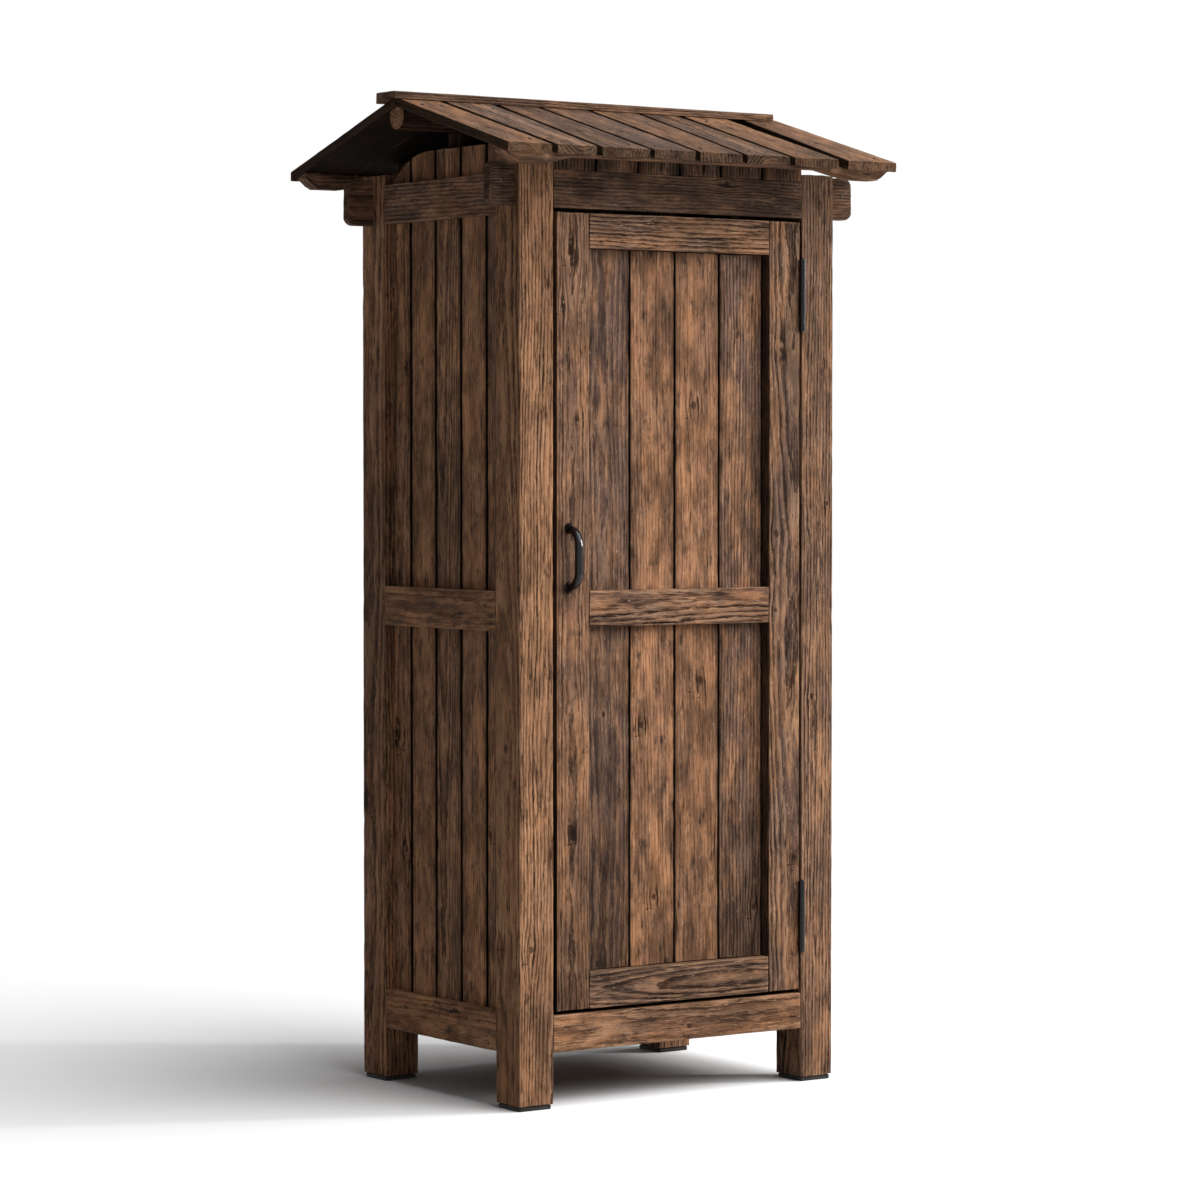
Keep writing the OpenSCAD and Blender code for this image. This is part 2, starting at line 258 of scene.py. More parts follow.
def sawn_boards_tree():
    """Geometry nodes for a row of equal sawn boards, each cut into cells for its grain."""
    if "sawn_boards" in bpy.data.node_groups:
        return bpy.data.node_groups["sawn_boards"]
    tree, given = new_tree(
        "sawn_boards", Boards=("Int", 1), Pitch=("Float", 0.1), Width=("Float", 0.09),
        Thickness=("Float", 0.014), Length=("Float", 1.0), Cells_Across=("Int", 10),
        Cells_Through=("Int", 5), Cells_Along=("Int", 50), Timber=("Material", None))
    size = add(tree, "ShaderNodeCombineXYZ", given["Width"], given["Thickness"], given["Length"])
    counts = [add(tree, PLUS, given[key], 1.0)
              for key in ("Cells Across", "Cells Through", "Cells Along")]
    board = add(tree, "GeometryNodeMeshCube", Size=size, Vertices_X=counts[0], Vertices_Y=counts[1],
                Vertices_Z=counts[2])
    step = add(tree, "ShaderNodeCombineXYZ", given["Pitch"])
    row = add(tree, "GeometryNodeMeshLine", Count=given["Boards"], Offset=step, mode="OFFSET")
    laid = add(tree, "GeometryNodeInstanceOnPoints", Points=row, Instance=board)
    marked = add(tree, "GeometryNodeStoreNamedAttribute", Geometry=laid, Name="board",
                 Value=add(tree, "GeometryNodeInputIndex"), data_type="INT", domain="INSTANCE")
    return finish_tree(tree, marked, given["Timber"])


def heads_tree():
    """Geometry nodes for nail or screw heads: a low dome on each point, turned to face the way that the
    point is marked and varied a little in size."""
    if "iron_heads" in bpy.data.node_groups:
        return bpy.data.node_groups["iron_heads"]
    tree, given = new_tree(
        "iron_heads", Seats=("Object", None), Head=("Float", 6.5 * MM), Rise=("Float", 1.2 * MM),
        Seed=("Int", 3), Iron=("Material", None))
    seats = add(tree, "GeometryNodeObjectInfo", Object=given["Seats"], transform_space="ORIGINAL")
    radius = add(tree, TIMES, given["Head"], 0.5)
    ball = add(tree, "GeometryNodeMeshUVSphere", Segments=14, Rings=8, Radius=radius)
    flat = add(tree, MATH, given["Rise"], radius, operation="DIVIDE")
    squash = add(tree, "ShaderNodeCombineXYZ", 1.0, 1.0, flat)
    head = add(tree, "GeometryNodeTransform", Geometry=ball, Scale=squash)
    facing = add(tree, "GeometryNodeInputNamedAttribute", Name="facing", data_type="FLOAT_VECTOR")
    aim = add(tree, "FunctionNodeAlignRotationToVector", Vector=facing, axis="Z")
    vary = add(tree, "FunctionNodeRandomValue", 0.88, 1.1, Seed=given["Seed"], data_type="FLOAT")
    placed = add(tree, "GeometryNodeInstanceOnPoints", Points=seats.node.outputs["Geometry"],
                 Instance=head, Rotation=aim, Scale=vary)
    return finish_tree(tree, placed, given["Iron"])


# ---------------------------------------------------------------- materials

def timber_material(name, warmth, lift, greying, sheen_rough):
    """Old stained pine, wire brushed by weather: dark growth lines stand in furrows, the wood between
    them is worn to a lighter brown, with purplish grey patches, knots, fine checks and rubbed arrises.
    The growth lines are about 6.4 mm apart, coarser than most pine, so that they show at full view."""
    if name in bpy.data.materials:
        return bpy.data.materials[name]
    tone = bpy.context.scene.shed_colours
    warm, mid, grey, dark = (rgba(c) for c in (tone.warm, tone.mid, tone.grey, tone.dark))
    mat, t = new_material(name)
    place, knot = (add(t, "ShaderNodeAttribute", attribute_name=key).node.outputs["Vector"]
                   for key in ("board_place", "knot"))
    ring, tint, worn, grime, figure = (
        add(t, "ShaderNodeAttribute", attribute_name=key).node.outputs["Fac"]
        for key in ("ring", "tint", "worn", "grime", "figure"))

    def stretched(across, along, detail, rough, shift):
        """Noise drawn out along the grain, by its size in metres across and along it."""
        mapped = add(t, "ShaderNodeMapping", Vector=place, Scale=(1 / across, 1 / across, 1 / along),
                     Location=(shift, shift, shift))
        return add(t, NOISE, Vector=mapped, Scale=1.0, Detail=detail, Roughness=rough)

    # growth lines: one dark band in each ring, of uneven strength and broken along its length
    sway = stretched(0.007, 0.035, 3.0, 0.65, 1.7)
    line_at = add(t, MINUS, add(t, SCALE, sway, 0.9, ring), 0.45)
    phase = add(t, MATH, line_at, operation="FRACT")
    rank = add(t, "ShaderNodeTexWhiteNoise", W=add(t, MATH, line_at, operation="FLOOR"),
               noise_dimensions="1D")
    broken = add(t, SMOOTH, stretched(0.011, 0.05, 3.0, 0.70, 4.1), 0.38, 0.58, 0.35, 1.0)
    reach = add(t, "ShaderNodeVectorMath", knot, operation="LENGTH")
    by_knot = add(t, SMOOTH, reach, 3.0, 1.0)
    line = add(t, SMOOTH, phase, 0.52, 0.78)
    for part in (add(t, SMOOTH, phase, 1.0, 0.92), add(t, SMOOTH, rank, 0.0, 0.8, 0.35, 1.0),
                 add(t, PLUS, broken, by_knot)):
        line = add(t, TIMES, line, part, use_clamp=True)
    line = add(t, TIMES, line, add(t, PLUS, figure, by_knot, use_clamp=True))
    calm = add(t, MINUS, 1.25, figure)

    fibre = stretched(0.0030, 0.040, 4.0, 0.75, 9.0)
    fleck = stretched(0.0042, 0.016, 3.0, 0.70, 33.0)
    streak = stretched(0.010, 0.16, 4.0, 0.70, 2.5)
    patch = stretched(0.045, 0.15, 4.0, 0.66, 6.0)
    weather = stretched(0.30, 0.62, 2.0, 0.5, 21.0)
    mottle = stretched(0.016, 0.040, 4.0, 0.7, 12.0)
    blotch = stretched(0.028, 0.085, 4.0, 0.65, 41.0)
    brushed = add(t, SCALE, add(t, SMOOTH, stretched(0.030, 0.11, 3.0, 0.6, 27.0), 0.42, 0.60),
                  figure, 0.22)
    check = add(t, SMOOTH, stretched(0.0038, 0.10, 2.0, 0.5, 15.0), 0.315, 0.275, 0.0, 0.9)

    ragged = add(t, MINUS, add(t, SCALE, mottle, 1.5, reach), 0.75)
    heart = add(t, SMOOTH, ragged, 0.95, 0.40)
    ripple = add(t, MATH, add(t, TIMES, ragged, 8.0), operation="SINE")
    knot_ring = add(t, TIMES, add(t, MATH, ripple, operation="ABSOLUTE"), heart)
    ridge = add(t, TIMES, add(t, SMOOTH, phase, 0.55, 0.15, 0.0, 0.34), figure)
    dark_fibre = add(t, TIMES, add(t, SMOOTH, fibre, 0.51, 0.36, 0.0, 0.80), brushed)
    light_fibre = add(t, TIMES, add(t, SMOOTH, fibre, 0.53, 0.66, 0.0, 0.50), brushed)
    rubbed = add(t, TIMES, add(t, SMOOTH, worn, 0.45, 1.0, 0.0, 0.45),
                 add(t, SMOOTH, streak, 0.42, 0.62))

    # the stain, thick or thin, and then what weather and wear have laid over it, in order
    warm_at = add(t, SCALE, tint, 1.05, warmth - 2.4)
    for noise, amount in ((streak, 2.3), (patch, 1.4)):
        warm_at = add(t, SCALE, noise, amount, warm_at)
    warm_at = add(t, SCALE, add(t, MINUS, mottle, 0.5), add(t, TIMES, calm, 4.2), warm_at,
                  use_clamp=True)
    wood = add(t, BLEND, warm_at, mid, warm)
    grey_at = add(t, TIMES, add(t, SMOOTH, patch, 0.62, 0.42),
                  add(t, MINUS, 1.25 * greying, tint), use_clamp=True)
    for amount, shade in (
            (grey_at, grey),
            (add(t, SMOOTH, mottle, 0.44, 0.29, 0.0, 0.82), dark),
            (add(t, SMOOTH, weather, 0.47, 0.30, 0.0, 0.55), rgba("#4a362c")),
            (ridge, rgba("#c39a78")),
            (add(t, TIMES, line, 0.94), dark),
            (dark_fibre, dark),
            (light_fibre, rgba("#c59c79")),
            (add(t, SMOOTH, fleck, 0.62, 0.72, 0.0, 0.55), rgba("#cfac8c")),
            (add(t, SMOOTH, fleck, 0.38, 0.28, 0.0, 0.55), dark),
            (check, rgba("#150d09")),
            (add(t, TIMES, heart, 0.55), rgba("#3b251a")),
            (add(t, TIMES, knot_ring, 0.55), rgba("#170e09")),
            (rubbed, rgba("#b18b6d"))):
        wood = add(t, BLEND, amount, wood, shade)
    # broad patches and the weather lighten or darken it; then lift, which is partly painted light and shade that
    # evens out how strongly the lamps light each timber
    uneven = add(t, SCALE, add(t, SMOOTH, blotch, 0.38, 0.60, -0.52, 0.48),
                 add(t, SCALE, calm, 0.42, 0.34), 1.0)
    for shade in (uneven, add(t, SMOOTH, weather, 0.36, 0.62, 0.88, 1.12), (lift, lift, lift, 1.0)):
        wood = add(t, SHADE, 1.0, wood, shade)
    # painted shade, with some dirt, blended towards near black as far as the board's attribute asks
    wood = add(t, BLEND, grime, wood, rgba("#0c0705"))

    height = add(t, TIMES, fibre, 0.8)
    for mark, depth in ((line, -0.9), (check, -1.3), (knot_ring, -0.6)):
        height = add(t, SCALE, mark, depth, height)
    bump = add(t, "ShaderNodeBump", Strength=1.0, Distance=2.4 * MM, Height=height)
    rough = add(t, SCALE, fibre, 0.22, sheen_rough - 0.11)
    rough = add(t, SCALE, line, 0.10, rough)
    rough = add(t, SCALE, grime, 0.35, rough, use_clamp=True)
    shader = add(t, "ShaderNodeBsdfPrincipled", Base_Color=wood, Roughness=rough, Normal=bump, IOR=1.45,
                 Specular_IOR_Level=0.08)
    add(t, "ShaderNodeOutputMaterial", shader)
    return mat


def iron_material(name, colour, rough, wear):
    """Forged iron under black paint: a thick gloss film with soft hammer dimples, dulled in patches and
    rubbed to brown steel in a few places. Dimples are about 6 mm across."""
    if name in bpy.data.materials:
        return bpy.data.materials[name]
    mat, t = new_material(name)
    place = add(t, "ShaderNodeTexCoord").node.outputs["Object"]
    dimple = add(t, NOISE, Vector=place, Scale=160.0, Detail=2.0)
    dust = add(t, NOISE, Vector=place, Scale=420.0, Detail=4.0, Roughness=0.65)
    bare = add(t, RANGE, dust, 0.60, 0.72, 0.0, wear)
    skin = add(t, BLEND, bare, rgba(colour), rgba("#5a4a40"))
    dull = add(t, RANGE, dust, 0.3, 0.7, rough - 0.05, rough + 0.08)
    bump = add(t, "ShaderNodeBump", Strength=0.10, Distance=0.5 * MM,
               Height=add(t, SCALE, dust, 0.25, dimple))
    shader = add(t, "ShaderNodeBsdfPrincipled", Base_Color=skin, Roughness=dull, Normal=bump, IOR=1.5,
                 Specular_IOR_Level=0.30)
    add(t, "ShaderNodeOutputMaterial", shader)
    return mat


def rubber_material():
    """Moulded black rubber: matt, finely pitted, with pale dust in the pits."""
    if "moulded_rubber" in bpy.data.materials:
        return bpy.data.materials["moulded_rubber"]
    mat, t = new_material("moulded_rubber")
    place = add(t, "ShaderNodeTexCoord").node.outputs["Object"]
    pits = add(t, NOISE, Vector=place, Scale=900.0, Detail=3.0)
    dusty = add(t, NOISE, Vector=place, Scale=60.0, Detail=4.0)
    skin = add(t, BLEND, add(t, RANGE, dusty, 0.45, 0.75, 0.0, 0.35),
               rgba(bpy.context.scene.shed_colours.rubber), rgba("#4b443e"))
    bump = add(t, "ShaderNodeBump", Strength=0.4, Distance=0.4 * MM, Height=pits)
    rough = add(t, RANGE, pits, 0.3, 0.7, 0.75, 0.95)
    shader = add(t, "ShaderNodeBsdfPrincipled", Base_Color=skin, Roughness=rough, Normal=bump, IOR=1.5)
    add(t, "ShaderNodeOutputMaterial", shader)
    return mat


# for each of the record's four timbers: its material's name, warmth, lift, greying and roughness
# lift is partly painted light and shade: the roof boards, which face the key lamp, are painted darker, and the
# plank boards, mostly seen on their shaded side, lighter
TIMBERS = {
    "frame_timber": ("brushed_stained_pine_frame", 0.50, 0.92, 0.85, 0.70),
    "plank_timber": ("stained_pine_wall_boards", 0.40, 1.10, 1.00, 0.74),
    "door_timber": ("brushed_stained_pine_door", 0.55, 0.97, 1.00, 0.68),
    "roof_timber": ("sun_worn_pine_roof_boards", 0.55, 0.66, 1.05, 0.62),
}


# ---------------------------------------------------------------- weathering

def waves(rng, count, *ranges):
    """Random wave numbers, phases and weights for a smooth seeded wobble, one row a wave."""
    rows = np.array([[rng.uniform(low, high) * rng.choice((-1, 1)) for low, high in ranges]
                     for _ in range(count)])
    return rows, rng.uniform(0, 2 * np.pi, count), rng.uniform(0.5, 1.0, count)


def wobble(kit, *coords):
    """The wobble at each point, from about -1 to 1."""
    rows, phases, weights = kit
    total = sum(w * np.sin(sum(k * c for k, c in zip(row, coords)) + p)
                for row, p, w in zip(rows, phases, weights))
    return total / (weights.sum() * 0.62)


def steps(cells, length, near=ARRIS_STEPS):
    """Cut lines along one side of a board, close together near its two ends."""
    edge = [0.0, *near]
    middle = np.linspace(near[-1], length - near[-1], cells + 1 - 2 * len(near))[1:-1]
    return np.array([*edge, *middle, *(length - s for s in reversed(edge))])


def thickness_steps(length):
    """Cut lines through a thin board: two at each arris and two for its tongue."""
    a, b = ARRIS_STEPS
    return np.array([0, a, b, 0.4 * length, 0.6 * length, length - b, length - a, length])


class Board:
    """One board: its two corners, and where it stands among its neighbours."""

    def __init__(self, low, high, tint=None, tongue=(0.0, 0.0), knots=None, quarter=None, grime=0.0,
                 figure=None, lean=(0.0, 0.0)):
        self.low, self.high = Vector(low), Vector(high)
        self.tint, self.tongue, self.knots, self.quarter = tint, tongue, knots, quarter
        self.grime, self.figure, self.lean = grime, figure, lean


def row_of(low, high, axis, edges, gap, tongue=True, **more):
    """Boards side by side between cut lines, with a gap at each inner line and a tongue that closes it."""
    out = []
    for i in range(len(edges) - 1):
        a, b = Vector(low), Vector(high)
        first, last = i == 0, i == len(edges) - 2
        a[axis] = edges[i] + (0 if first else gap / 2)
        b[axis] = edges[i + 1] - (0 if last else gap / 2)
        reach = gap / 2 + 0.15 * MM
        tips = (0 if first or not tongue else reach, 0 if last or not tongue else reach)
        out.append(Board(a, b, tongue=tips, **{k: v[i] for k, v in more.items()}))
    return out


def build_timber(name, nodes, boards, slot, axes, seed, body="cabinet", fit=None, coarse=1.0,
                 end_wear=1.0, square=False, knot_rate=1.0, inner=0, side_grime=0.0, under_grime=0.0,
                 splash=0.0, end_grime=0.0):
    """Builds one piece of seasoned boards. axes is (across, through, along) as X, Y, Z numbers. fit bends
    the finished points to a shape that is not a plain block. square is for a timber as thick as it is
    wide, coarse widens its cells, and inner is the sign of the face that lies in shadow, which is painted
    near black as shade. The long sides and the broad faces may be given painted shade, the sawn ends may
    be painted darker, and splash says how much mud is thrown up from the ground."""
    wear = bpy.context.scene.shed_timber
    rng = np.random.default_rng(seed)
    size = np.array([[b.high[a] - b.low[a] for a in axes] for b in boards])
    mean = size.mean(axis=0)
    n_across = max(8, round(mean[0] / (wear.cell_across * coarse)))
    n_through = max(8, round(mean[1] / (wear.cell_across * coarse))) if square else 7
    end_steps = END_STEPS if mean[2] > 0.2 else ARRIS_STEPS
    n_along = max(6, round(mean[2] / (wear.cell_along * coarse))) + 2 * len(end_steps)
    mat = timber_material(*TIMBERS[slot])
    mesh = grown(sawn_boards_tree(), name, {
        "Boards": len(boards), "Pitch": float(mean[0] + wear.gap), "Width": float(mean[0]),
        "Thickness": float(mean[1]), "Length": float(mean[2]), "Cells Across": n_across,
        "Cells Through": n_through, "Cells Along": n_along, "Timber": mat})
    raw = points_of(mesh).astype(float)
    count = len(raw)
    which = np.empty(count, np.int32)
    mesh.attributes["board"].data.foreach_get("value", which)
    mesh.attributes.remove(mesh.attributes["board"])
    raw[:, 0] -= which * (mean[0] + wear.gap)
    share = raw / mean + 0.5

    # what the material reads at each point
    marks = {key: np.zeros(count) for key in ("ring", "tint", "worn", "grime", "figure")}
    marks["board_place"] = np.zeros((count, 3))
    marks["knot"] = knot = np.tile((FAR_FROM_KNOT, FAR_FROM_KNOT, 0.0), (count, 1))
    co = np.zeros((count, 3))
    for i, board in enumerate(boards):
        pick = np.nonzero(which == i)[0]
        w, thick, long = size[i]
        cuts = [steps(n_across, w), steps(n_through, thick) if square else thickness_steps(thick),
                steps(n_along, long, end_steps)]
        p = np.stack([cuts[k][np.clip(np.rint(share[pick, k] * (len(cuts[k]) - 1)).astype(int), 0,
                                      len(cuts[k]) - 1)] - size[i][k] / 2 for k in range(3)], axis=1)
        half = size[i] / 2
        x, y, z = p[:, 0].copy(), p[:, 1].copy(), p[:, 2].copy()
        offset = rng.uniform(-4, 4, 3)

        # the log this board came from: pith beside it (straight lines) or behind it (arched lines)
        quarter = board.quarter if board.quarter is not None else rng.random() < QUARTER_SAWN
        if quarter:
            pith = (rng.choice((-1, 1)) * (w / 2 + rng.uniform(25, 70) * MM), rng.uniform(-25, 25) * MM)
        else:
            pith = (rng.uniform(-0.3, 0.3) * w, rng.choice((-1, 1)) * (thick / 2 + rng.uniform(6, 30) * MM))
        spacing = wear.ring * rng.uniform(0.85, 1.2)

        # knots run through the board; the grain flows round them
        n_knots = board.knots if board.knots is not None else rng.poisson(knot_rate * long)
        xe, ye = x.copy(), y.copy()
        nearest = np.full(len(pick), 1e9)
        hollow = np.zeros(len(pick))
        for _ in range(n_knots):
            side_on = square and rng.random() < 0.5
            wide = thick if side_on else w
            radius = min(rng.uniform(*KNOT_RADII) * MM, wide * 0.2)
            at, level = rng.uniform(-0.36, 0.36) * wide, rng.uniform(-0.46, 0.46) * long
            u = (y if side_on else x) - at
            v = z - level
            pull = 0.82 * np.exp(-(u / (1.9 * radius)) ** 2 - (v / (4.2 * radius)) ** 2)
            if side_on:
                ye = ye - u * pull
            else:
                xe = xe - u * pull
            reach = np.hypot(u, v * 0.8) / radius
            here = (reach < nearest) & (reach < 3.2)
            knot[pick[here], 0] = u[here] / radius
            knot[pick[here], 1] = v[here] * 0.8 / radius
            nearest = np.minimum(nearest, reach)
            hollow += KNOT_HOLLOW * np.clip(1.15 - reach, 0, 1)

        slow = waves(rng, 5, (2, 14), (4, 20))
        quick = waves(rng, 6, (25, 70), (30, 120))
        lean = rng.uniform(-0.02, 0.02)
        radial = np.hypot(xe - pith[0], ye - pith[1]) + lean * z
        radial += SLOW_WANDER * wobble(slow, z, xe * 3) + QUICK_WANDER * wobble(quick, z, xe * 2)
        rings = radial / spacing + rng.uniform(0, 50)
        marks["ring"][pick] = rings

        # arrises worn round, with small chips
        nick = waves(rng, 9, (18, 160), (20, 60), (20, 60))
        chip = wobble(nick, z, x, y)
        radius = wear.arris * (0.72 + 0.35 * chip) + CHIP_DEPTH * np.clip(chip - 0.55, 0, 1)
        radius = np.clip(radius, 0.5 * MM, min(half[1], half[0]) * 0.55)
        flat = half[None, :] - radius[:, None]
        core = np.clip(p, -flat, flat)
        gap = p - core
        span = np.linalg.norm(gap, axis=1)
        n = gap / np.maximum(span, 1e-9)[:, None]
        p = core + n * radius[:, None]
        by_side, by_back, by_end = (1 - np.clip((h - np.abs(c)) / wide, 0, 1) for h, c, wide in (
            (half[0], x, RUBBED_SIDE), (half[1], y, RUBBED_SIDE), (half[2], z, RUBBED_END)))
        rim = np.maximum(by_side, by_end)
        if square:
            rim = np.maximum(rim * (np.abs(n[:, 1]) > 0.5), by_back * (np.abs(n[:, 0]) > 0.5))
        marks["worn"][pick] = rim

        # broad furrows along the grain, and the sawn ends' wear
        furrow = 0.5 + 0.5 * np.sin(2 * np.pi * rings / FURROW_LINES)
        rough = waves(rng, 7, (8, 45), (60, 160), (60, 160))
        fall = wear.relief * (0.55 * furrow ** 1.5 + 0.45 * (0.5 + 0.5 * wobble(rough, z, x, y))) + hollow
        face = 1 - np.abs(n[:, 2]) ** 2
        ends = waves(rng, 6, (30, 180), (30, 180))
        saw = end_wear * MM * (0.9 + 0.8 * wobble(ends, x, y))
        p -= n * (fall * face)[:, None]
        p[:, 2] -= np.sign(z) * np.clip(saw, 0, None) * np.abs(n[:, 2]) ** 2

        # the board's own dirt and painted shade, painted shade on the long sides and broad faces, darker sawn
        # ends, and mud splashed up from the ground
        darkening = np.full(len(pick), board.grime)
        for amount, way, turn in ((side_grime, 0, 1.6), (under_grime, 1, 1.6), (end_grime, 2, 1.8)):
            darkening = np.maximum(darkening, amount * np.clip(np.abs(n[:, way]) * turn - turn + 1, 0, 1))
        level = p[:, axes.index(Z)] + (board.low[Z] + board.high[Z]) / 2
        darkening = darkening + splash * np.clip((SPLASH_TOP - level) / SPLASH_FADE, 0, 1)
        # painted shade, near black, over the inner face, which lies in shadow
        darkening = np.maximum(darkening, 0.93 * np.clip(n[:, 1] * inner, 0, 1))

        # the tongue closes the gap to the next board from behind its face; the gap's sides are painted black as
        # shade, and painted shade spreads from the joint onto the face
        mid = np.abs(y) < 0.15 * thick
        for sign, tip in ((-1, board.tongue[0]), (1, board.tongue[1])):
            if tip:
                lip = mid & (x * sign > half[0] - 0.1 * MM)
                p[lip, 0] = sign * (half[0] + tip)
                side = (n[:, 0] * sign > 0.8) & (np.abs(y) < half[1] - 2 * MM)
                darkening[side] = 1.0
                by_joint = np.clip(1 - (half[0] - x * sign) / JOINT_SHADE, 0, 1)
                darkening = np.maximum(darkening, board.grime + 0.5 * by_joint * (0.75 + 0.5 * chip))
        marks["grime"][pick] = np.clip(darkening, 0, 1)
        marks["figure"][pick] = board.figure if board.figure is not None else rng.uniform(0.5, 1.0)

        share_x, share_z = np.clip(x / w + 0.5, 0, 1), np.clip(z / long + 0.5, 0, 1)
        p[:, 0] += (board.lean[0] * (1 - share_x) + board.lean[1] * share_x) * share_z

        centre = (board.low + board.high) / 2
        for k, axis in enumerate(axes):
            co[pick, axis] = p[:, k] + centre[axis]
        marks["board_place"][pick] = np.stack([x, y, z], axis=1) + offset
        marks["tint"][pick] = board.tint if board.tint is not None else rng.uniform(0.15, 0.95)

    if fit is not None:
        co = fit(co)
    mesh.vertices.foreach_set("co", co.astype(np.float32).ravel())
    for key, values in marks.items():
        kind, field = ("FLOAT_VECTOR", "vector") if values.ndim == 2 else ("FLOAT", "value")
        layer = mesh.attributes.new(key, kind, "POINT")
        layer.data.foreach_set(field, values.astype(np.float32).ravel())
    if tuple(axes) in ((X, Z, Y), (Y, X, Z), (Z, Y, X)):
        # these axes are left handed, so the faces are turned back outwards
        mesh.flip_normals()
    mesh.shade_smooth()
    mesh.update()
    return piece(name, mesh, body, slot, *nodes)


def single(node, slot, axes, seed, tint, **more):
    """One timber that fills its CAD block."""
    keep = {k: more.pop(k) for k in ("knots", "quarter", "grime", "figure") if k in more}
    return build_timber(node + "_wood", [node], [Board(*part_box(node), tint=tint, **keep)], slot, axes, seed,
                        **more)


def middle_of(node, axis):
    """The middle of a CAD node on one axis."""
    low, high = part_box(node)
    return (low[axis] + high[axis]) / 2


def between(co, low, high, foot, top):
    """Stretches a block's points upright, to lie between a foot and a top."""
    co[:, Z] = foot + (co[:, Z] - low[Z]) / (high[Z] - low[Z]) * (top - foot)
    return co


# ---------------------------------------------------------------- roof geometry

def roof_underside(y):
    """Height of the roof planks' underside at a distance from the ridge, on both slopes."""
    front_low, front_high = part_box("front_roof_slope")
    rear_low, rear_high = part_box("rear_roof_slope")
    apex = front_high[Z] - roof_thickness()
    front = apex - (apex - front_low[Z]) * np.clip(-y / -front_low[Y], 0, None)
    rear = apex - (apex - rear_low[Z]) * np.clip(y / rear_high[Y], 0, None)
    return np.where(y < 0, front, rear)


def roof_thickness():
    """Upright thickness of the roof planks, read off the front slope's outer end."""
    mesh = frame["nodes"]["front_roof_slope"].data
    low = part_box("front_roof_slope")[0]
    edge = [v.co[Z] for v in mesh.vertices if abs(v.co[Y] - low[Y]) < 1e-5]
    return max(edge) - min(edge)


def gable_fall(node):
    """Where a side wall's top starts to fall towards the rear post, how far it falls and on what radius,
    read off the CAD planks."""
    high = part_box(node)[1]
    tops = {(round(v.co[Y], 5), round(v.co[Z], 5)) for v in frame["nodes"][node].data.vertices}
    start = max(y for y, z in tops if z > high[Z] - 1e-4)
    drop = high[Z] - max(z for y, z in tops if y > high[Y] - 1e-4)
    run = high[Y] - start
    return start, drop, (run ** 2 + drop ** 2) / (2 * drop)


# ---------------------------------------------------------------- operators

class SHED_OT_posts(bpy.types.Operator):
    """Four square posts and the two plates that lie through their heads"""
    bl_idname = "shed.posts"
    bl_label = "Posts and plates"

    def execute(self, context):
        for seed, (node, tint, knots) in enumerate((
                ("post_front_left", 0.92, 2), ("post_front_right", 0.34, 5),
                ("post_rear_left", 0.75, 2), ("post_rear_right", 0.5, 3))):
            single(node, "frame_timber", (X, Y, Z), 11 + seed, tint, square=True, knots=knots, quarter=True,
                   figure=1.0)
        for seed, node in enumerate(("front_plate", "rear_plate")):
            low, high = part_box(node)

            def rounded(co, low=low, high=high, radius=17 * MM):
                centre, half = (low[Z] + high[Z]) / 2, (high[Z] - low[Z]) / 2
                into = np.minimum(co[:, X] - low[X], high[X] - co[:, X])
                short = np.clip(radius - into, 0, radius)
                limit = half - radius + np.sqrt(np.clip(radius ** 2 - short ** 2, 0, None))
                co[:, Z] = centre + (co[:, Z] - centre) * limit / half
                return co
            # the plates lie in the eaves' shadow: they are painted darker as shade, their sawn ends darkest
            single(node, "frame_timber", (Z, Y, X), 21 + seed, 0.15, fit=rounded, grime=0.2, end_grime=0.55)
        return {"FINISHED"}


class SHED_OT_rails(bpy.types.Operator):
    """Lintel, sill rail and the nine rails of the sides and back"""
    bl_idname = "shed.rails"
    bl_label = "Rails"

    def execute(self, context):
        # the lintel lies in the eaves' shadow and is painted darker as shade
        single("front_lintel", "frame_timber", (Z, Y, X), 31, 0.0, grime=0.30, figure=0.5)
        single("front_bottom_rail", "frame_timber", (Z, Y, X), 32, 0.7, quarter=False)
        seed = 33
        for side, axes in (("left", (Z, X, Y)), ("right", (Z, X, Y)), ("rear", (Z, Y, X))):
            for level, tint in (("top", 0.1), ("mid", 0.7), ("bottom", 0.75)):
                single(f"{side}_{level}_rail", "frame_timber", axes, seed, tint)
                seed += 1
        return {"FINISHED"}


